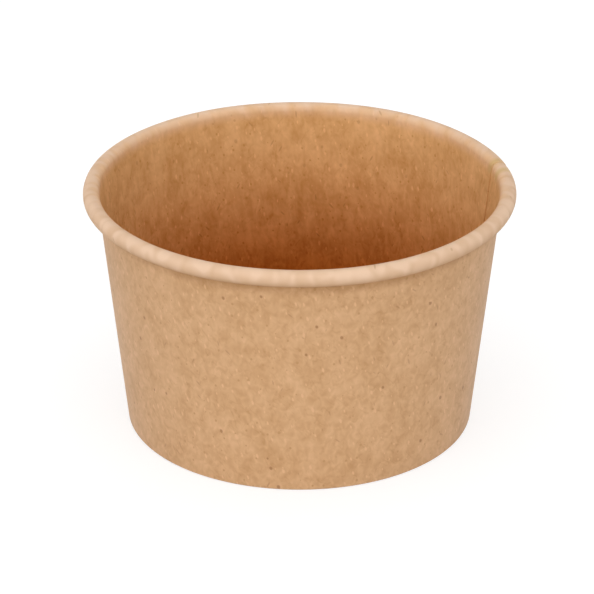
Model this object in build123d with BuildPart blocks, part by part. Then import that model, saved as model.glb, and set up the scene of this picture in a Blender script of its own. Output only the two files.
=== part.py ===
from build123d import *
from math import acos, atan2, cos, degrees, hypot, radians, sin, tan
import os

# A small kraft paper sauce cup, made from two pieces of board.
# The side wall is a flat blank wrapped into a cone, lapped along one seam, rolled outward at the
# rim and folded inward under the base. The base disc is a cupped disc whose turned-down flange is
# gripped in that fold. The origin is the centre of the ring that the cup stands on, and +Z is up.

# Outside of the cup, in millimetres
rim_diameter = 74.0
cup_height = 43.5
base_diameter = 60.1
curl_diameter = 2.8

# The board, and the bonding film left between pieces that are sealed together
side_board = 0.40
base_board = 0.35
seal_film = 0.03

# Heights above the table of the floor's underside and of the hem's cut edge, and the space
# between the flange's cut edge and the crease that it hangs in
base_recess = 5.0
hem_height = 4.3
flange_clearance = 0.10

# The side seam, with its widths measured round the foot of the cup
lap_width = 6.0
seam_groove = 2.6
seam_angle = 14.0

# Space between the curl's cut edge and the wall that it rolls back to
curl_tip_gap = 0.10

# Round stretches of the sections are short chords, because a revolved chord stays a light cone
curl_skin_facets = 11
curl_lining_facets = 6
crease_facets = 2

# The wall leans so that it runs from the foot straight into the inside of the curl
curl_radius = curl_diameter / 2
curl_out = rim_diameter / 2 - curl_radius
curl_up = cup_height - curl_radius
base_radius = base_diameter / 2
span_angle = acos((curl_radius - side_board) / hypot(curl_out - base_radius, curl_up))
lean = span_angle - atan2(curl_up, curl_out - base_radius)
lean_angle = degrees(lean)
curl_centre = Vector(curl_out, curl_up)

# The fold holds the flange between the wall and the hem
pocket = base_board + 2 * seal_film
doubled = 2 * side_board
lap_angle = degrees(lap_width / base_radius)
groove_angle = degrees(seam_groove / base_radius)


def leaning(depth, height):
    """Point in section at a height, on the line parallel to the wall, depth outside its food side."""
    foot = base_radius + (depth - side_board) / cos(lean)
    return Vector(foot + height * tan(lean), height)


def meridian(angle):
    """Upright plane through the cup's axis, turned from +X towards +Y."""
    turn = radians(angle)
    return Plane(origin=(0, 0, 0), x_dir=(cos(turn), sin(turn), 0), z_dir=(sin(turn), -cos(turn), 0))


def bend_points(centre, radius, start, size, facets):
    """Points round a bend, from a start angle through a signed size, both in degrees."""
    return [
        centre + Vector(radius, 0).rotate(Axis.Z, start + size * step / facets)
        for step in range(facets + 1)
    ]


def board_section(inner, outer):
    """Corners of the board's section between two depths outside its food side.

    The inner face runs from the hem's cut edge down to the crease, under the flange, up the wall
    and round the curl, which turns until its edge comes back to the wall. The outer face comes
    back the same way. It stands on the table, and is round about the crease's inside corners.
    """
    thickness = outer - inner
    hem_crease = leaning(-pocket - inner, thickness)
    wall_crease = leaning(inner, thickness)
    curl_start = 180 - lean_angle
    curl_turn = 360 - degrees(acos((curl_radius - outer - curl_tip_gap) / curl_radius))
    skin, lining = curl_radius - inner, curl_radius - outer
    return [
        leaning(-pocket - inner, hem_height),
        hem_crease,
        wall_crease,
        *bend_points(curl_centre, skin, curl_start, -curl_turn, curl_skin_facets),
        *bend_points(curl_centre, lining, curl_start - curl_turn, curl_turn, curl_lining_facets),
        *bend_points(wall_crease, thickness, -lean_angle, lean_angle - 90, crease_facets),
        *bend_points(hem_crease, thickness, -90, -90 - lean_angle, crease_facets),
        leaning(-pocket - outer, hem_height),
    ]


# Side wall: one board all round, two at the lap, and a slope between them beside the inner edge
with BuildPart() as side_wall:
    with BuildSketch(meridian(seam_angle + lap_angle)):
        with BuildLine():
            Polyline(*board_section(0, side_board), close=True)
        make_face()
    revolve(axis=Axis.Z, revolution_arc=360 - lap_angle - groove_angle)

    with BuildSketch(meridian(seam_angle)):
        with BuildLine():
            Polyline(*board_section(0, doubled), close=True)
        make_face()
    revolve(axis=Axis.Z, revolution_arc=lap_angle)

    with BuildSketch(meridian(seam_angle)):
        with BuildLine():
            Polyline(*board_section(side_board, doubled), close=True)
        make_face()
    with BuildSketch(meridian(seam_angle - groove_angle)):
        with BuildLine():
            Polyline(*board_section(0, side_board), close=True)
        make_face()
    loft(ruled=True)

side_wall.part.label = "side_wall"

# Base disc: a flat floor whose edge turns down into a flange that follows the wall
floor_top = base_recess + base_board
floor_crease = leaning(-seal_film - base_board, base_recess)
flange_foot = doubled + flange_clearance

with BuildPart() as base_disc:
    with BuildSketch(Plane.XZ):
        with BuildLine():
            Polyline(
                (0, floor_top),
                *bend_points(floor_crease, base_board, 90, -90 - lean_angle, crease_facets),
                leaning(-seal_film, flange_foot),
                leaning(-seal_film - base_board, flange_foot),
                floor_crease,
                (0, base_recess),
                close=True,
            )
        make_face()
    revolve(axis=Axis.Z)

base_disc.part.label = "base_disc"

os.makedirs("parts", exist_ok=True)
export_step(side_wall.part, "parts/side_wall.step")
export_step(base_disc.part, "parts/base_disc.step")
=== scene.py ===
from math import acos, atan2, cos, hypot, pi, radians, sin, tan

import bpy
import numpy as np
from bpy.props import FloatProperty, FloatVectorProperty, PointerProperty
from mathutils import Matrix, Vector


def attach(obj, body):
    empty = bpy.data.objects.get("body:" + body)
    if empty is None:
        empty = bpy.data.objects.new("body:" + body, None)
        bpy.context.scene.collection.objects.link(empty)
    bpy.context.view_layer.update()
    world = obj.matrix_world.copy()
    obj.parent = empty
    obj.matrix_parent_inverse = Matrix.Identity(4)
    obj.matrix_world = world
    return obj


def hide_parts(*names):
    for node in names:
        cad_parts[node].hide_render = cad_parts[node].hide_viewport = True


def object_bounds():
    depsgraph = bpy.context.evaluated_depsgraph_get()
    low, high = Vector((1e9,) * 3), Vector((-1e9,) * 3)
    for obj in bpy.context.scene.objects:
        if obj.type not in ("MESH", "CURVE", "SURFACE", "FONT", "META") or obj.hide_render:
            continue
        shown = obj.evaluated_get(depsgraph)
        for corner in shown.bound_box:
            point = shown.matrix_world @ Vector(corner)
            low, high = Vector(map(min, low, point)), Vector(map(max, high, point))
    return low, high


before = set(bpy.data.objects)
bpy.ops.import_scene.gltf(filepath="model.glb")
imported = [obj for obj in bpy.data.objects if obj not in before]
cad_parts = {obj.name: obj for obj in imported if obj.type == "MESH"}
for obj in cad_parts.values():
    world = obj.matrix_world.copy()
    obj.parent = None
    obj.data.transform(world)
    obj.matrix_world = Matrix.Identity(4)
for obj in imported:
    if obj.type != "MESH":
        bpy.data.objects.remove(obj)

bl_info = {
    "name": "Paper sauce cup",
    "version": (1, 0, 0),
    "blender": (4, 5, 0),
    "location": "3D View > Sidebar > Sauce cup",
    "description": "Kraft paper sauce cup: a lapped, rolled and folded side wall and a flanged base disc",
    "category": "Add Mesh",
}

# The imported part's box, which the cup stays inside
CAD_LOW, CAD_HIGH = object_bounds()

MM = 0.001
BOX_MARGIN = 0.005 * MM
SHARP_EDGE = radians(50.0)

# The wall's board settles from under the lap to the table over this angle
CREASE_SETTLES = radians(4.0)

# Inside radii of the wall's crease and of the base disc's edge, and the film inside the lap
CREASE_RADIUS = 0.06 * MM
DISC_RADIUS = 0.15 * MM
LAP_FILM = 0.01 * MM

# How far the curl's middle wanders round the rim, and the waves that it wanders in, outwards and
# then upwards, each as waves to the turn and start
RIM_SWAY = 0.04 * MM
RIM_WAVES = (((3, 0.6), (5, 2.1)), ((2, 1.3), (7, 0.2)))

# Points along each run of the wall's section, and stations along each stretch of its turn
HEM_POINTS, CORNER_POINTS, WALL_POINTS, CURL_POINTS = 4, 7, 18, 35
LAP_STATIONS, SETTLE_STATIONS, ROUND_STATIONS, GROOVE_STATIONS = 22, 16, 330, 18

# Points along each run of the disc's section, and stations round it
FLOOR_POINTS, EDGE_POINTS, FLANGE_POINTS, DISC_STATIONS = 13, 9, 6, 240

# One unit of the flat board's map, long enough for the whole blank to lie round the map's middle
MAP_UNIT = 0.25
MAP_MIDDLE = 0.5

# Space from node to node in the shader editor
NODE_STEP = 220

# How far the disc's pattern lies from the wall's on the flat board, in millimetres
DISC_SHIFT = 40.0

# Mean of a noise, and where the pulp lies between dark and pale without its patterns
NOISE_MEAN = 0.5
PULP_MIDDLE = 0.5

# How much each pattern moves the pulp from dark to pale, on the bare side and on the lined one
PULP_SHARES = {
    "clouds": (0.75, 1.0), "streaks": (0.0, 0.6), "mottle": (0.95, 0.75),
    "grain": (0.12, 0.12), "fine": (0.1, 0.1), "wisps": (-0.22, -0.22),
    "glints": (0.15, 0.15), "flecks": (0.6, 0.6), "motes": (-0.7, -0.7),
}

# Contrast of the pulp on the bare side and on the lined one, and what it gains where the painted shade
# towards the floor is whole
CONTRASTS = 1.0, 0.8
DEEP_SHADE_CONTRAST = 0.5

# Where a noise about nought starts to show as a thin fibre, and where it is one
FIBRE_EDGE = 0.12, 0.35

# Share of the speck colour in bark specks, bare and lined, and in dark fibres, high and deep
BARK_SHARES = 0.6, 0.25
HAIR_SHARES = 0.3, 0.6
HAIR_TURNS = 0.1, -0.55, 0.7

# Smallest speck as a share of the largest, and the share of a speck's radius that is solid
SPECK_SMALLEST = 0.4
SPECK_SOLID = 0.45

# A pattern's shift along the board for each millimetre of its shift across
SHIFT_ALONG = 1.7

# Tones, painted shade and painted sheen that run down the wall, each from where it is nought to
# where it is whole, in millimetres past the start of the curl and negative down the wall
# Painted shade down the food side towards the floor
DEEP_SHADE_RUN = -1.5, -36.0
# Painted shade on the outer wall just under the rim
UNDER_RIM_SHADE = -4.4, -2.2
# The rim's plainer board, and its pale top, which is partly painted sheen and fades down the outer side
# partly as painted shade
LOW_RIM_TONE = 1.0, 2.6
RIM_TONE = -1.7, 2.3
RIM_FADE = 2.6, 5.7
PATCH_TONE = -1.7, 0.0
PATCH_FADE = 4.0, 1.4

# Share of the painted shade on the floor disc, which sees more of the sky than the foot of the wall does
FLOOR_DEEP_SHADE = 0.5

# Share of the rim's pale colour, partly painted sheen, that fades down its outer side partly as painted
# shade, its mean share, and how smudged that is
RIM_FADES = 0.9
RIM_SHARE = 0.925
SMUDGE_SHARE = 0.85

# The rim is yellower in two patches, this far from the middle of the seam's groove, each this far
# to both sides and with this share of its colour
SEAM_PATCH = radians(3.3)
SEAM_PATCH_HALF = radians(2.6)
PATCH_SHARE = 0.7

# Roughness of the bare side and of the lined one, and how much two of the patterns move it
ROUGHNESSES = 0.84, 0.54
GRAIN_ROUGHNESS = 0.16
CLOUD_ROUGHNESS = 0.1

# Share of each pattern in the height of the board's tooth, and the strength of its bump
TOOTH_SHARES = {"mottle": 0.4, "grain": 0.4, "fine": 0.2, "hairs": -0.2}
TOOTH_STRENGTH = 0.4

# Gloss of the board, the soft sheen of its bare fibres, and the matt lining's share of gloss
BOARD_IOR = 1.45
SHEEN = 0.2
SHEEN_ROUGHNESS = 0.5
LINING_GLOSS = 0.04

# The stage's floor: its reach each way, how far it is under the foot, the grey that lights the cup,
# and the grey and glow that the eye sees, which are white together and keep part of the shadow
FLOOR_REACH = 4000 * MM
FLOOR_DROP = 0.02 * MM
FLOOR_BOUNCE = 0.66
FLOOR_SHADE = 0.4
FLOOR_GLOW = 0.7

# Parts of the surround, each from where it is nought to where it is whole, by the upward share of
# the way that it lies in, and for the window's sides by the backward share, turned a little left
HORIZON = 0.2, 0.0
OVERHEAD = 0.72, 0.92
WINDOW_FOOT = 0.1, 0.33
WINDOW_HEAD = 0.65, 0.36
WINDOW_SIDES = 0.0, -0.6
WINDOW_LEFT = 0.18

# The camera: a long lens at a distance from the point it looks at, raised by an angle
LENS_MM = 190.57
SENSOR_MM = 36.0
VIEW_POINT = Vector((-0.427 * MM, 0.0, 21.572 * MM))
VIEW_DISTANCE = 545.8 * MM
VIEW_RISE = radians(25.817)
VIEW_NEAR, VIEW_FAR = 10 * MM, 50000 * MM


def length(name, description, default):
    """A size in metres that a user can change."""
    return FloatProperty(
        name=name, description=description, default=default,
        min=0.0, precision=5, subtype="DISTANCE", unit="LENGTH",
    )


def colour(name, description, default):
    """A linear colour that a user can change."""
    return FloatVectorProperty(
        name=name, description=description, default=default,
        size=3, min=0.0, max=1.0, subtype="COLOR",
    )


def strength(name, description, default):
    """A strength without a unit that a user can change."""
    return FloatProperty(name=name, description=description, default=default, min=0.0)


class CupSizes(bpy.types.PropertyGroup):
    """Sizes of the cup and of the board it is made of."""

    rim_diameter: length(
        "Rim diameter", "Across the outside of the rolled rim",
        CAD_HIGH.x - CAD_LOW.x - 2 * BOX_MARGIN,
    )
    height: length("Height", "From the table to the top of the rim", CAD_HIGH.z - BOX_MARGIN)
    foot_diameter: length("Foot diameter", "Across the outside of the wall at the table", 60.1 * MM)
    curl_diameter: length("Curl diameter", "Thickness of the rolled rim", 2.8 * MM)
    wall_board: length("Wall board", "Thickness of the side wall's board", 0.40 * MM)
    base_board: length("Base board", "Thickness of the base disc's board", 0.35 * MM)
    seal_film: length("Seal film", "Space left between the base disc and the side wall", 0.03 * MM)
    base_recess: length("Base recess", "Height of the floor's underside above the table", 5.0 * MM)
    hem_height: length("Hem height", "Height of the folded hem's cut edge", 4.3 * MM)
    flange_foot: length("Flange foot", "Height of the flange's cut edge", 0.9 * MM)
    curl_tip_gap: length("Curl tip gap", "Space between the curl's cut edge and the wall", 0.10 * MM)
    lap_width: length("Lap width", "Overlap at the side seam, round the foot", 6.0 * MM)
    seam_groove: length("Seam groove", "Width of the slope beside the seam's inner edge", 2.6 * MM)
    seam_press: length("Seam press", "Width over which the seam's inner edge is pressed thinner", 3.9 * MM)
    seam_angle: FloatProperty(
        name="Seam angle", description="Place of the seam's inner edge, from +X towards +Y",
        default=radians(14.0), subtype="ANGLE", unit="ROTATION",
    )


class CupFinishAndShade(bpy.types.PropertyGroup):
    """Colours of the kraft board, with its painted shade and sheen, and the depth of its tooth."""

    outside_pale: colour("Outside, pale", "Palest pulp of the outer wall", (0.702, 0.425, 0.228))
    outside_dark: colour("Outside, dark", "Darkest pulp of the outer wall", (0.516, 0.281, 0.118))
    inside_pale: colour("Inside, pale", "Palest pulp of the lined food side", (0.80, 0.475, 0.222))
    inside_dark: colour("Inside, dark", "Darkest pulp of the lined food side", (0.57, 0.292, 0.098))
    # Painted shade: the food side's colour is multiplied by this at the floor
    deep_shade: colour("Deep tone", "What the food side's colour is multiplied by at the floor", (0.71, 0.37, 0.09))
    # The rim's pale top is partly paler stretched board and partly painted sheen; its fade down the outer
    # side to the plainer board below is partly painted shade
    rim: colour("Rim", "Stretched, paler board on top of the rolled rim", (0.772, 0.544, 0.382))
    rim_low: colour("Rim, low", "Plainer board that the rim fades to on its way down", (0.52, 0.29, 0.135))
    # Painted shade: the outer wall's colour is multiplied by this under the rim
    shade_under_rim: colour("Tucked tone", "What the wall's colour is multiplied by under the rim", (0.76, 0.71, 0.62))
    seam_yellow: colour("Seam patches", "Yellower patches of the rim beside the seam", (0.60, 0.40, 0.15))
    cut: colour("Cut edge", "Core of the board where it is cut", (0.68, 0.39, 0.17))
    speck: colour("Specks", "Bark specks and dark fibres", (0.27, 0.10, 0.02))
    tooth: length("Tooth", "Depth of the board's fibrous tooth", 0.03 * MM)


class StageLight(bpy.types.PropertyGroup):
    """Strengths of the studio light."""

    even: strength("Even light", "Strength of the surround on all sides", 0.32)
    overhead: strength("Overhead", "Strength that the surround gains straight overhead", 1.14)
    horizon: strength("Horizon", "Strength that the surround gains towards the floor", 1.9)
    window: strength("Window", "Strength of the wide soft light in front", 2.52)


# Numpy surfaces


def ease(value):
    """Smooth step: nought below 0, one above 1, and three squares less two cubes between."""
    value = np.clip(value, 0, 1)
    return value * value * (3 - 2 * value)


def cup_form(sizes):
    """Lean of the wall in radians, and the middle of the curl in section.

    The wall runs from the foot straight into the curl, so its outer face is the tangent from the
    foot to the circle one board inside the curl. The lean is the angle between tangent and
    sightline less the sightline's own fall from upright.
    """
    curl = sizes.curl_diameter / 2
    out, up = sizes.rim_diameter / 2 - curl, sizes.height - curl
    run = out - sizes.foot_diameter / 2
    lean = acos((curl - sizes.wall_board) / hypot(run, up)) - atan2(up, run)
    return lean, np.array([out, up])


def curl_turn(sizes, plies):
    """Angle that the curl turns through before its cut edge would touch the wall.

    It is a full turn less the angle whose cosine is the curl's radius, less the plies' boards and
    the gap at its tip, over that radius.
    """
    curl = sizes.curl_diameter / 2
    return 2 * pi - acos((curl - plies * sizes.wall_board - sizes.curl_tip_gap) / curl)


def beside_wall(sizes, lean, depth, height):
    """Section points at a height on lines parallel to the wall, depth outside its food side.

    The radius is the foot's, plus depth less one board over the lean's cosine, plus height times
    the lean's tangent.
    """
    radius = sizes.foot_diameter / 2 + (depth - sizes.wall_board) / cos(lean) + height * tan(lean)
    return np.stack(np.broadcast_arrays(radius, height), -1).astype(float)


def bend(centre, radius, start, size, share):
    """Section points round a bend: centre plus radius times the cosine and sine of an angle,
    which is start plus share times size."""
    angle = start + size * share
    return centre + radius[..., None] * np.stack([np.cos(angle), np.sin(angle)], -1)


def straight(first, last, share):
    """Section points on a straight: first plus share times the way from first to last."""
    return first + share[..., None] * (last - first)


def turned(section, angle):
    """Section points (radius, height) turned round the axis: radius times cosine and sine, height."""
    radius, height, angle = np.broadcast_arrays(section[..., 0], section[..., 1], angle)
    return np.stack([radius * np.cos(angle), radius * np.sin(angle), height], -1)


def length_along(points):
    """Length run along each row: the running sum of the distances between its points."""
    steps = np.linalg.norm(np.diff(points, axis=-2), axis=-1)
    return np.concatenate([np.zeros_like(steps[..., :1]), np.cumsum(steps, -1)], -1)


def there_and_back(rows):
    """Values along one skin of a board, run down the food side and back up the outer side."""
    return np.concatenate([rows, rows[:, ::-1]], 1)


def wall_skin(sizes, depth, corner, turn, sway):
    """Section of one skin of the wall's board at each station round the cup.

    Straights and arcs in order: down the hem, round both corners of the crease, up the wall and
    round the curl. A skin at a depth outside the food side has the crease's radius plus depth and
    the curl's radius less depth. Rows are stations, and columns are places along the section.
    """
    lean, middle = cup_form(sizes)
    facing = np.array([cos(lean), -sin(lean)])
    pocket = sizes.base_board + 2 * sizes.seal_film
    depth, corner, turn = depth[:, None], corner[:, None], turn[:, None]
    crease, curl = CREASE_RADIUS + depth, sizes.curl_diameter / 2 - depth

    hem_bend = beside_wall(sizes, lean, CREASE_RADIUS - pocket, corner + CREASE_RADIUS)
    wall_bend = beside_wall(sizes, lean, -CREASE_RADIUS, corner + CREASE_RADIUS)
    curl_bend = middle + sway[:, None, :]

    hem_top = beside_wall(sizes, lean, -pocket - depth, np.full_like(depth, sizes.hem_height))
    hem_foot = hem_bend - crease[..., None] * facing
    wall_foot = wall_bend + crease[..., None] * facing
    wall_top = curl_bend - curl[..., None] * facing
    round_corner = np.linspace(0, 1, CORNER_POINTS)[None]
    return np.concatenate([
        straight(hem_top, hem_foot, np.linspace(0, 1, HEM_POINTS + 1)[None, :-1]),
        bend(hem_bend, crease, pi - lean, pi / 2 + lean, round_corner),
        bend(wall_bend, crease, -pi / 2, pi / 2 - lean, round_corner),
        straight(wall_foot, wall_top, np.linspace(0, 1, WALL_POINTS + 2)[None, 1:-1]),
        bend(curl_bend, curl, pi - lean, -turn, np.linspace(0, 1, CURL_POINTS)[None]),
    ], axis=1)


def wall_skins(sizes, angle):
    """Sections of the food side and the outer side of the wall's board at each station's angle.

    The board's depth is nought under the lap and all round, eases up by one board over the groove
    and the pressed edge, and stays there over the lap. The inner edge is pressed thinner by the
    same easing, so the boards stay face to face. Where the board is doubled the crease stands one
    board higher, and the curl turns less. The curl's middle wanders by a sum of sine waves.
    """
    board, reach = sizes.wall_board, sizes.foot_diameter / 2
    start, groove = sizes.seam_angle, sizes.seam_groove / reach
    pressed = groove + sizes.seam_press / reach
    over = ease((angle - start - 2 * pi + groove) / pressed)
    under = 1 - ease((angle - start - sizes.lap_width / reach) / CREASE_SETTLES)
    doubled = np.maximum(over, under)
    thickness = board * ease((angle - start + groove) / pressed)
    depth = over * (board + LAP_FILM)
    corner = board + doubled * (thickness + LAP_FILM)
    turn_once, turn_doubled = curl_turn(sizes, 1), curl_turn(sizes, 2)
    turn = turn_once + doubled * (turn_doubled - turn_once)
    sway = RIM_SWAY * np.stack([
        sum(np.sin(waves * angle + first) / 2 for waves, first in pair) - 1 for pair in RIM_WAVES
    ], -1)
    food_side = wall_skin(sizes, depth, corner, turn, sway)
    outer_side = wall_skin(sizes, depth + thickness, corner, turn, sway)
    return food_side, outer_side


def wall_stations(sizes):
    """Angles of the wall's stations, from the inner cut edge of the seam round to the outer one.

    They stand close together under the lap, where the crease settles, over the groove and over
    the lap, and evenly round the rest.
    """
    reach, start = sizes.foot_diameter / 2, sizes.seam_angle
    lap, groove = sizes.lap_width / reach, sizes.seam_groove / reach
    stretches = [
        (start + lap, LAP_STATIONS), (start + lap + CREASE_SETTLES, SETTLE_STATIONS),
        (start + 2 * pi - groove, ROUND_STATIONS), (start + 2 * pi, GROOVE_STATIONS),
        (start + 2 * pi + lap, LAP_STATIONS),
    ]
    angles = [start]
    for last, count in stretches:
        angles.extend(np.linspace(angles[-1], last, count + 1)[1:])
    return np.array(angles)


def cone_laid_flat(sizes, angle, from_foot):
    """The cone's blank laid flat: distance from the apex, and the turn times the sine of the lean."""
    lean = cup_form(sizes)[0]
    apex = (sizes.foot_diameter / 2 - sizes.wall_board) / sin(lean)
    swing = (angle - angle.mean())[:, None] * sin(lean)
    return np.stack([
        (apex + from_foot) * np.sin(swing), (apex + from_foot) * np.cos(swing) - apex,
    ], -1)


def seam_patches(sizes, angle):
    """One in two patches beside the middle of the seam's groove, easing to nought round them."""
    groove = sizes.seam_groove / (sizes.foot_diameter / 2)
    from_groove = np.abs((angle - sizes.seam_angle + groove / 2 + pi) % (2 * pi) - pi)
    return ease(1 - np.abs(from_groove - SEAM_PATCH) / SEAM_PATCH_HALF)


def wall_faces(stations, around):
    """Quads round each section and from station to station, then quads over the two cut ends."""
    half = around // 2
    place = np.arange(stations * around).reshape(stations, around)
    ahead = np.roll(place, -1, axis=1)
    sheet = np.stack([place[:-1], ahead[:-1], ahead[1:], place[1:]], -1)
    inner, outer = place[:, :half], place[:, ::-1][:, :half]
    first_end = np.stack([inner[0, 1:], inner[0, :-1], outer[0, :-1], outer[0, 1:]], -1)
    last_end = np.stack([inner[-1, :-1], inner[-1, 1:], outer[-1, 1:], outer[-1, :-1]], -1)
    return np.concatenate([sheet.reshape(-1, 4), first_end, last_end]).tolist()


def wall_sheet(sizes):
    """The side wall's board, closed all over, with its flat map and marks.

    One sheet goes round from the inner cut edge of the seam to the outer one: at each station the
    section runs along the food side and back along the outer side, turned by the station's angle.
    The marks are the run past the start of the curl in millimetres, the patches beside the seam,
    the lined faces, with the seam's pressed inner edge, and the cut ones.
    """
    angle = wall_stations(sizes)
    food_side, outer_side = wall_skins(sizes, angle)
    section = np.concatenate([food_side, outer_side[:, ::-1]], 1)
    stations, around = section.shape[:2]
    half = around // 2

    run = length_along((food_side + outer_side) / 2)
    wall_foot = HEM_POINTS + 2 * CORNER_POINTS - 1
    curl_foot = wall_foot + WALL_POINTS + 1
    flat = cone_laid_flat(sizes, angle, run - run[:, wall_foot, None])

    strip = np.arange(around)
    cut = np.tile((strip % half == half - 1).astype(float), stations - 1)
    lined = np.tile((strip < half - 1).astype(float), stations - 1)
    end = np.ones(half - 1)
    return {
        "points": turned(section, angle[:, None]).reshape(-1, 3),
        "faces": wall_faces(stations, around),
        "flat": there_and_back(flat).reshape(-1, 2),
        "point_marks": {
            "curl": there_and_back(run - run[:, curl_foot, None]).ravel() / MM,
            "seam": np.repeat(seam_patches(sizes, angle), around),
        },
        "face_marks": {
            "lined": np.concatenate([lined, end, 0 * end]),
            "cut": np.concatenate([cut, 0 * end, end]),
        },
    }


def disc_skins(sizes):
    """Sections of the top and the underside of the base disc's board.

    Each skin runs out over the flat floor, round an arc and down the flange beside the wall. The
    arcs share their middle, and their radii differ by one board.
    """
    lean = cup_form(sizes)[0]
    facing = np.array([cos(lean), -sin(lean)])
    outer, inner = -sizes.seal_film, -sizes.seal_film - sizes.base_board
    middle = beside_wall(sizes, lean, inner - DISC_RADIUS, sizes.base_recess - DISC_RADIUS)
    skins = []
    for depth, radius in ((outer, DISC_RADIUS + sizes.base_board), (inner, DISC_RADIUS)):
        axis = np.array([0.0, middle[1] + radius])
        flange_end = beside_wall(sizes, lean, depth, sizes.flange_foot)
        skins.append(np.concatenate([
            straight(axis, middle + [0, radius], np.linspace(0, 1, FLOOR_POINTS + 2)[1:-1]),
            bend(middle, np.array(radius), pi / 2, -pi / 2 - lean, np.linspace(0, 1, EDGE_POINTS)),
            straight(middle + radius * facing, flange_end, np.linspace(0, 1, FLANGE_POINTS + 1)[1:]),
        ]))
    return skins


def disc_sheet(sizes):
    """The base disc's board, closed all over, with its flat map and marks.

    The section of both skins is turned right round the axis, and each skin closes on a point
    there. Laid flat, a point is the length run out from the axis, in the direction of its turn.
    """
    top_side, under_side = disc_skins(sizes)
    section = np.concatenate([top_side, under_side[::-1]])
    angle = np.linspace(0, 2 * pi, DISC_STATIONS, endpoint=False)
    stations, around = len(angle), len(section)
    half = around // 2
    top, under = stations * around, stations * around + 1
    poles = [[0.0, 0.0, top_side[0, 1]], [0.0, 0.0, under_side[0, 1]]]
    points = np.concatenate([turned(section[None], angle[:, None]).reshape(-1, 3), poles])

    between_skins = (top_side + under_side) / 2
    run = between_skins[0, 0] + length_along(between_skins)
    run = np.concatenate([run, run[::-1]])
    flat = run[None, :, None] * np.stack([np.cos(angle), np.sin(angle)], -1)[:, None]

    place = np.arange(stations * around).reshape(stations, around)
    beside = np.roll(place, -1, axis=0)
    sheet = np.stack([place[:, :-1], place[:, 1:], beside[:, 1:], beside[:, :-1]], -1)
    top_fan = [[top, a, b] for a, b in zip(place[:, 0].tolist(), beside[:, 0].tolist())]
    under_fan = [[under, b, a] for a, b in zip(place[:, -1].tolist(), beside[:, -1].tolist())]
    strip = np.arange(around - 1)
    fan = np.ones(stations)
    return {
        "points": points,
        "faces": sheet.reshape(-1, 4).tolist() + top_fan + under_fan,
        "flat": np.concatenate([flat.reshape(-1, 2), np.zeros((len(poles), 2))]),
        "point_marks": {},
        "face_marks": {
            "lined": np.concatenate([np.tile((strip < half - 1) * 1.0, stations), fan, 0 * fan]),
            "cut": np.concatenate([np.tile((strip == half - 1) * 1.0, stations), 0 * fan, 0 * fan]),
        },
    }


def add_piece(name, sheet, material, node):
    """A mesh object of a sheet's points and faces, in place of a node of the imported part."""
    old = bpy.data.objects.get(name)
    if old:
        bpy.data.objects.remove(old)
    mesh = bpy.data.meshes.new(name)
    mesh.from_pydata(sheet["points"].tolist(), [], sheet["faces"])
    corners = np.zeros(len(mesh.loops), np.int32)
    mesh.loops.foreach_get("vertex_index", corners)
    board = mesh.uv_layers.new(name="board")
    laid = sheet["flat"][corners] / MAP_UNIT + MAP_MIDDLE
    board.data.foreach_set("uv", laid.astype(np.float32).ravel())
    for domain in ("point", "face"):
        for mark, values in sheet[domain + "_marks"].items():
            made = mesh.attributes.new(mark, "FLOAT", domain.upper())
            made.data.foreach_set("value", values.astype(np.float32))
    mesh.shade_smooth()
    mesh.set_sharp_from_angle(angle=SHARP_EDGE)
    mesh.materials.append(material)
    if mesh.validate():
        raise RuntimeError(f"{name} has faces that don't join up")
    piece = bpy.data.objects.new(name, mesh)
    bpy.context.scene.collection.objects.link(piece)
    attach(piece, "root")
    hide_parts(node)


# Shaders


class Value:
    """A shader socket that takes part in expressions: each operator adds one Math node."""

    def __init__(self, shader, node, outlet):
        self.shader, self.node, self.socket = shader, node, node.outputs[outlet]

    def other(self, outlet):
        """Another socket of the same node."""
        return Value(self.shader, self.node, outlet)

    def math(self, operation, first, second):
        """What a Math node makes of two numbers or values."""
        return self.shader.node("Math", {"operation": operation}, {0: first, 1: second})

    def __add__(self, term):
        return self.math("ADD", self, term)

    def __sub__(self, term):
        return self.math("SUBTRACT", self, term)

    def __rsub__(self, term):
        return self.math("SUBTRACT", term, self)

    def __mul__(self, term):
        return self.math("MULTIPLY", self, term)

    def __truediv__(self, term):
        return self.math("DIVIDE", self, term)

    def __rtruediv__(self, term):
        return self.math("DIVIDE", term, self)

    __radd__, __rmul__ = __add__, __mul__


def between(share, first, second):
    """The number first where share is nought, second where it is one, and a mix of both between."""
    return first if first == second else first + (second - first) * share


def grey(level):
    """An opaque grey of a linear level."""
    return (level, level, level, 1.0)


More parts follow.
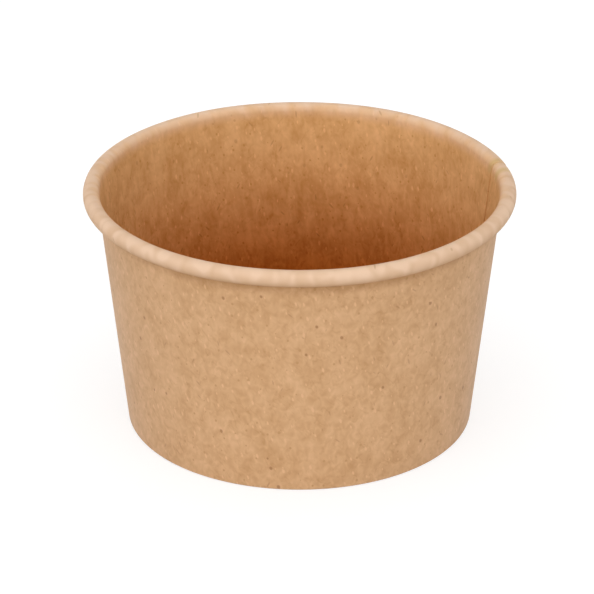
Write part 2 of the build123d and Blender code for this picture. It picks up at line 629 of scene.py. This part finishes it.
class Shader:
    """One node tree, built from plain calls and from expressions on the values they give."""

    def __init__(self, owner):
        owner.use_nodes = True
        self.tree = owner.node_tree
        self.tree.nodes.clear()

    def node(self, kind, settings=None, sockets=None, outlet=0):
        """A node of a type, with its settings first and then the values or links of its sockets."""
        made = self.tree.nodes.new("ShaderNode" + kind)
        made.location = (NODE_STEP * len(self.tree.nodes), 0)
        for name, value in (settings or {}).items():
            setattr(made, name, value)
        for name, value in (sockets or {}).items():
            if isinstance(value, Value):
                self.tree.links.new(value.socket, made.inputs[name])
            else:
                made.inputs[name].default_value = value
        return Value(self, made, outlet) if made.outputs else None

    def mark(self, name):
        """A number marked on the mesh."""
        return self.node("Attribute", {"attribute_name": name}, outlet="Fac")

    def rise(self, value, low, high):
        """Nought at low, one at high and smooth between."""
        return self.node(
            "MapRange", {"interpolation_type": "SMOOTHSTEP"},
            {"Value": value, "From Min": low, "From Max": high},
        )

    def blend(self, share, first, second, way="MIX"):
        """Colour between two colours, or between the first and what a blend of both gives."""
        rgba = [x if isinstance(x, Value) else (*x, 1.0) for x in (first, second)]
        return self.node(
            "Mix", {"data_type": "RGBA", "blend_type": way},
            {0: share, 6: rgba[0], 7: rgba[1]}, outlet=2,
        )

    def laid(self, flat, turn, across, along, shift):
        """Flat coordinates turned by an angle and measured in lengths across and along."""
        return self.node("Mapping", {"vector_type": "TEXTURE"}, {
            "Vector": flat, "Location": (shift, SHIFT_ALONG * shift, 0.0),
            "Rotation": (0.0, 0.0, turn), "Scale": (across, along, 1.0),
        })

    def noise(self, flat, turn, across, along, shift, finer=0.0, swirl=0.0):
        """Soft noise about nought, with waves of a width and length, finer waves and a swirl."""
        return self.node("TexNoise", {"noise_dimensions": "2D"}, {
            "Vector": self.laid(flat, turn, across, along, shift), "Scale": 1.0,
            "Detail": float(finer > 0.0), "Roughness": finer, "Distortion": swirl,
        }) - NOISE_MEAN

    def specks(self, flat, turn, across, along, shift, radius, share):
        """One speck to the cell in a share of the cells, with a radius up to that share of a cell."""
        at = self.laid(flat, turn, across, along, shift)
        cell = self.node("TexVoronoi", {"voronoi_dimensions": "2D"}, {"Vector": at, "Scale": 1.0})
        lot = self.node("SeparateColor", {}, {0: cell.other("Color")})
        chosen = self.node("Math", {"operation": "LESS_THAN"}, {0: lot, 1: share})
        spread = radius * between(lot.other(1), SPECK_SMALLEST, 1.0)
        return chosen * self.rise(cell.other("Distance") / spread, 1.0, SPECK_SOLID)


def board_patterns(shader, flat):
    """The pulp's patterns by name, in millimetres on the flat board."""
    noise, specks, rise = shader.noise, shader.specks, shader.rise
    wisps = noise(flat, turn=0.5, across=0.9, along=1.8, shift=21.0, swirl=1.5)
    glints = noise(flat, turn=-0.4, across=0.85, along=1.5, shift=33.0, swirl=1.5)
    hairs = [
        specks(flat, turn=turn, across=1.9, along=7.5, shift=11.0 + 5.0 * turn, radius=0.11, share=0.09)
        for turn in HAIR_TURNS
    ]
    return {
        "clouds": noise(flat, turn=0.3, across=6.0, along=7.5, shift=3.0, finer=1.0),
        "streaks": noise(flat, turn=0.08, across=1.1, along=3.8, shift=12.0, finer=0.8, swirl=0.3),
        "mottle": noise(flat, turn=-0.15, across=1.35, along=1.8, shift=8.0, finer=0.9, swirl=0.4),
        "grain": noise(flat, turn=0.05, across=0.4, along=1.2, shift=1.0, finer=0.8),
        "fine": noise(flat, turn=0.0, across=0.3, along=0.36, shift=2.0, finer=0.9),
        "wisps": rise(wisps, *FIBRE_EDGE),
        "glints": rise(glints, *FIBRE_EDGE),
        "flecks": specks(flat, turn=0.1, across=1.6, along=3.6, shift=6.0, radius=0.17, share=0.55),
        "motes": specks(flat, turn=-0.2, across=1.9, along=2.4, shift=9.0, radius=0.15, share=0.35),
        "barks": specks(flat, turn=0.2, across=3.2, along=4.2, shift=7.0, radius=0.13, share=0.12),
        "hairs": sum(hairs),
    }


def pulp_tint(shader, finish_and_shade, patterns, lined, deep_shade_share):
    """Colour between the pulp's dark and pale on each side, times the painted shade towards the floor by its
    share.
    """
    contrast = between(lined, *CONTRASTS) + DEEP_SHADE_CONTRAST * deep_shade_share
    pulp = PULP_MIDDLE + contrast * sum(
        between(lined, *shares) * patterns[name] for name, shares in PULP_SHARES.items()
    )
    bare_side = shader.blend(pulp, finish_and_shade.outside_dark[:], finish_and_shade.outside_pale[:])
    lined_side = shader.blend(pulp, finish_and_shade.inside_dark[:], finish_and_shade.inside_pale[:])
    tint = shader.blend(lined, bare_side, lined_side)
    # Painted shade: the food side's colour grows darker and warmer towards the floor
    return shader.blend(deep_shade_share, tint, finish_and_shade.deep_shade[:], "MULTIPLY")


def rim_tint(shader, finish_and_shade, flat, lined, tint):
    """The wall's colour with painted shade under the rim, the smudged rim, partly painted sheen and shade,
    and the seam's patches.
    """
    along = shader.mark("curl")
    # Painted shade on the outer wall just under the rim
    under = (1.0 - lined) * shader.rise(along, *UNDER_RIM_SHADE)
    tint = shader.blend(under, tint, finish_and_shade.shade_under_rim[:], "MULTIPLY")
    tint = shader.blend(lined * shader.rise(along, *LOW_RIM_TONE), tint, finish_and_shade.rim_low[:])
    smudge = shader.noise(flat, turn=0.0, across=2.4, along=3.6, shift=4.0, swirl=0.6)
    # The rim's pale top is partly painted sheen, and its fade down the outer side partly painted shade
    rolled = lined * shader.rise(along, *RIM_TONE) * (1.0 - RIM_FADES * shader.rise(along, *RIM_FADE))
    tint = shader.blend(rolled * (RIM_SHARE + SMUDGE_SHARE * smudge), tint, finish_and_shade.rim[:])
    patches = shader.mark("seam") * lined * shader.rise(along, *PATCH_TONE)
    patches = patches * shader.rise(along, *PATCH_FADE)
    return shader.blend(patches * PATCH_SHARE, tint, finish_and_shade.seam_yellow[:])


def kraft_board(name, finish_and_shade, shift, is_wall):
    """Kraft board: clouded pulp, fibres mostly along the sheet, bark specks and a fine tooth.

    The pattern is laid on the flat board, in millimetres, so it runs on over creases and stops
    at the cut edges. The food side is lined: warmer, smoother and matt, with upright streaks and
    painted shade that grows darker towards the floor. The bare side has a soft sheen. The wall also
    has the rim's tones: painted shade under the rim, and a pale top that is partly painted sheen.
    """
    material = bpy.data.materials.new(name)
    shader = Shader(material)
    board = shader.node("UVMap", {"uv_map": "board"})
    flat = shader.node("Mapping", {}, {
        "Vector": board, "Location": (shift, -shift, 0.0),
        "Scale": (MAP_UNIT / MM, MAP_UNIT / MM, 1.0),
    })
    patterns = board_patterns(shader, flat)
    lined, cut = shader.mark("lined"), shader.mark("cut")
    # Share of the painted shade: it grows down the wall's food side, and is a fixed share on the floor disc's
    # lined side
    deep_shade_share = lined * (shader.rise(shader.mark("curl"), *DEEP_SHADE_RUN) if is_wall else FLOOR_DEEP_SHADE)

    tint = pulp_tint(shader, finish_and_shade, patterns, lined, deep_shade_share)
    if is_wall:
        tint = rim_tint(shader, finish_and_shade, flat, lined, tint)
    tint = shader.blend(cut, tint, finish_and_shade.cut[:])
    tint = shader.blend(patterns["barks"] * between(lined, *BARK_SHARES), tint, finish_and_shade.speck[:])
    tint = shader.blend(patterns["hairs"] * between(deep_shade_share, *HAIR_SHARES), tint, finish_and_shade.speck[:])

    grain_and_clouds = GRAIN_ROUGHNESS * patterns["grain"] + CLOUD_ROUGHNESS * patterns["clouds"]
    bump = shader.node("Bump", {}, {
        "Height": sum(share * patterns[name] for name, share in TOOTH_SHARES.items()),
        "Distance": finish_and_shade.tooth, "Strength": TOOTH_STRENGTH,
    })
    shared = {
        "Base Color": tint, "Roughness": between(lined, *ROUGHNESSES) + grain_and_clouds,
        "Normal": bump, "IOR": BOARD_IOR,
    }
    bare = shader.node("BsdfPrincipled", {}, {
        **shared, "Sheen Weight": SHEEN, "Sheen Roughness": SHEEN_ROUGHNESS,
    })
    lining = shader.node("BsdfPrincipled", {}, {**shared, "Specular IOR Level": LINING_GLOSS})
    surface = shader.node("MixShader", {}, {0: lined, 1: bare, 2: lining})
    shader.node("OutputMaterial", {}, {"Surface": surface})
    return material


# Operators


class CUP_OT_side_wall(bpy.types.Operator):
    """Make the side wall: one board, lapped, rolled at the rim and folded at the foot."""

    bl_idname = "cup.side_wall"
    bl_label = "Side wall"
    bl_options = {"REGISTER", "UNDO"}

    def execute(self, context):
        board = kraft_board("kraft_wall", context.scene.cup_finish, 0.0, True)
        add_piece("wall_sheet", wall_sheet(context.scene.cup_sizes), board, "side_wall")
        return {"FINISHED"}


class CUP_OT_base_disc(bpy.types.Operator):
    """Make the base disc: a flat floor with a flange turned down beside the wall."""

    bl_idname = "cup.base_disc"
    bl_label = "Base disc"
    bl_options = {"REGISTER", "UNDO"}

    def execute(self, context):
        board = kraft_board("kraft_base", context.scene.cup_finish, DISC_SHIFT, False)
        add_piece("floor_disc", disc_sheet(context.scene.cup_sizes), board, "base_disc")
        return {"FINISHED"}


class CUP_OT_stage(bpy.types.Operator):
    """Make the stage: a white floor that keeps the cup's shadow, a soft surround and the camera."""

    bl_idname = "cup.stage"
    bl_label = "Stage"
    bl_options = {"REGISTER", "UNDO"}

    def execute(self, context):
        self.floor(context.scene)
        self.surround(context.scene, context.scene.stage_light)
        self.camera(context.scene)
        context.scene.view_settings.view_transform = "Standard"
        return {"FINISHED"}

    def seen(self, shader):
        """One where the eye or a mirror sees the surface, and nought where it lights another."""
        ray = shader.node("LightPath")
        return (ray.other("Is Camera Ray") + ray.other("Is Glossy Ray")
                + ray.other("Is Transmission Ray"))

    def floor(self, scene):
        """White floor just under the foot. The eye sees it white, less part of the cup's shadow."""
        mesh = bpy.data.meshes.new("floor")
        corners = ((-1, -1), (1, -1), (1, 1), (-1, 1))
        mesh.from_pydata(
            [(x * FLOOR_REACH, y * FLOOR_REACH, -FLOOR_DROP) for x, y in corners], [], [(0, 1, 2, 3)],
        )
        material = bpy.data.materials.new("white_floor")
        shader = Shader(material)
        paper = shader.node("BsdfDiffuse", {}, {"Color": grey(FLOOR_BOUNCE)})
        shade = shader.node("BsdfDiffuse", {}, {"Color": grey(FLOOR_SHADE)})
        glow = shader.node("Emission", {}, {"Color": grey(1.0), "Strength": FLOOR_GLOW})
        shown = shader.node("AddShader", {}, {0: shade, 1: glow})
        mixed = shader.node("MixShader", {}, {0: self.seen(shader), 1: paper, 2: shown})
        shader.node("OutputMaterial", {}, {"Surface": mixed})
        mesh.materials.append(material)
        floor = bpy.data.objects.new("floor", mesh)
        scene.collection.objects.link(floor)

    def surround(self, scene, light):
        """Soft light from all sides and from a wide window in front, which the eye sees as white."""
        scene.world = bpy.data.worlds.new("surround")
        shader = Shader(scene.world)
        direction = shader.node("TexCoord", outlet="Generated")
        right = shader.node("SeparateXYZ", {}, {"Vector": direction})
        height, back = right.other("Z"), right.other("Y") + WINDOW_LEFT * right
        window = shader.rise(height, *WINDOW_FOOT) * shader.rise(height, *WINDOW_HEAD)
        window = window * shader.rise(back, *WINDOW_SIDES)
        level = (
            light.even + light.overhead * shader.rise(height, *OVERHEAD)
            + light.horizon * shader.rise(height, *HORIZON) + light.window * window
        )
        white = shader.node("Background", {}, {
            "Color": grey(1.0), "Strength": level + self.seen(shader) * (1.0 - level),
        })
        shader.node("OutputWorld", {}, {"Surface": white})

    def camera(self, scene):
        """Long lens in front of the cup, looking down on it."""
        camera = bpy.data.cameras.new("camera")
        camera.lens, camera.sensor_width = LENS_MM, SENSOR_MM
        camera.clip_start, camera.clip_end = VIEW_NEAR, VIEW_FAR
        holder = bpy.data.objects.new("camera", camera)
        holder.location = VIEW_POINT + VIEW_DISTANCE * Vector((0.0, -cos(VIEW_RISE), sin(VIEW_RISE)))
        holder.rotation_euler = (pi / 2 - VIEW_RISE, 0.0, 0.0)
        scene.collection.objects.link(holder)
        scene.camera = holder


class CUP_PT_panel(bpy.types.Panel):
    """Sauce cup's pieces, sizes, colours with their painted shade and sheen, and light, in the 3D view's
    sidebar.
    """

    bl_idname = "CUP_PT_panel"
    bl_label = "Sauce cup"
    bl_space_type = "VIEW_3D"
    bl_region_type = "UI"
    bl_category = "Sauce cup"

    def draw(self, context):
        for step in STEPS:
            self.layout.operator(step.bl_idname)
        for name in GROUPS:
            group, box = getattr(context.scene, name), self.layout.box()
            for entry in group.__annotations__:
                box.prop(group, entry)


STEPS = (CUP_OT_side_wall, CUP_OT_base_disc, CUP_OT_stage)
GROUPS = {"cup_sizes": CupSizes, "cup_finish": CupFinishAndShade, "stage_light": StageLight}


def register():
    for item in (*GROUPS.values(), *STEPS, CUP_PT_panel):
        bpy.utils.register_class(item)
    for name, group in GROUPS.items():
        setattr(bpy.types.Scene, name, PointerProperty(type=group))


def unregister():
    for name in GROUPS:
        delattr(bpy.types.Scene, name)
    for item in (CUP_PT_panel, *STEPS, *GROUPS.values()):
        bpy.utils.unregister_class(item)


def main():
    register()
    bpy.ops.cup.side_wall()
    bpy.ops.cup.base_disc()
    bpy.ops.cup.stage()


if __name__ == "__main__":
    main()
